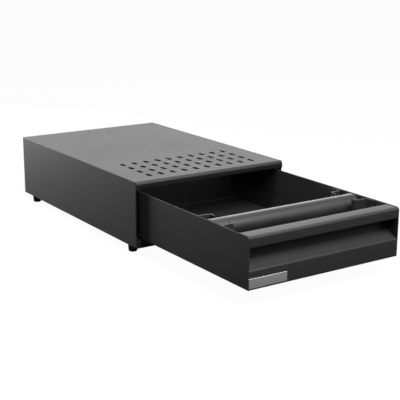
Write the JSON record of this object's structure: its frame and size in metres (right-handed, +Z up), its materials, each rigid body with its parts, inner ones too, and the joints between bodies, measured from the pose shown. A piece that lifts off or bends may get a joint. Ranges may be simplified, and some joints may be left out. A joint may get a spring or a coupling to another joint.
{
  "type": "knock box drawer",
  "caption": "Low black sheet metal housing with a slotted top, and a drawer with a finger recess and a removable rubber covered knock bar for used coffee grounds.",
  "frame": {"origin": "on the counter, under the middle of the whole object's box, with the drawer open as stored", "axes": "+Z up, the drawer pulls out towards -Y, +X to the right as seen from the front"},
  "size_m": [0.255, 0.6318, 0.105],
  "materials": {
    "black_coat": "fine textured satin powder coat on folded steel",
    "bar_rubber": "smooth satin black rubber",
    "bar_steel": "turned steel rod ends",
    "badge_metal": "fine brushed bare plate",
    "zinc_steel": "galvanised folded steel",
    "glide_plastic": "smooth pale plastic strip",
    "foot_rubber": "moulded black rubber"
  },
  "bodies": {
    "housing": {"housing_shell": "black_coat", "housing_floor": "black_coat", "rear_panel": "black_coat", "left_guide_channel": "zinc_steel", "right_guide_channel": "zinc_steel", "left_glide_strip": "glide_plastic", "right_glide_strip": "glide_plastic", "foot_front_left": "foot_rubber", "foot_front_right": "foot_rubber", "foot_rear_left": "foot_rubber", "foot_rear_right": "foot_rubber", "left_closing_buffer": "foot_rubber", "right_closing_buffer": "foot_rubber"},
    "drawer": {"drawer_tray": "black_coat", "drawer_back": "black_coat", "drawer_front": "black_coat", "badge_plate": "badge_metal", "left_bar_cradle": "black_coat", "right_bar_cradle": "black_coat"},
    "knock_bar": {"knock_bar_rod": "bar_steel", "knock_bar_sleeve": "bar_rubber"}
  },
  "joints": [
    {"name": "drawer_slide", "type": "slide", "parent": "housing", "child": "drawer", "axis": [0, -1, 0], "range_m": [-0.251, 0.129]},
    {"name": "knock_bar_lift", "type": "slide", "parent": "drawer", "child": "knock_bar", "axis": [0, 0, 1], "range_m": [0, 0.09]}
  ]
}
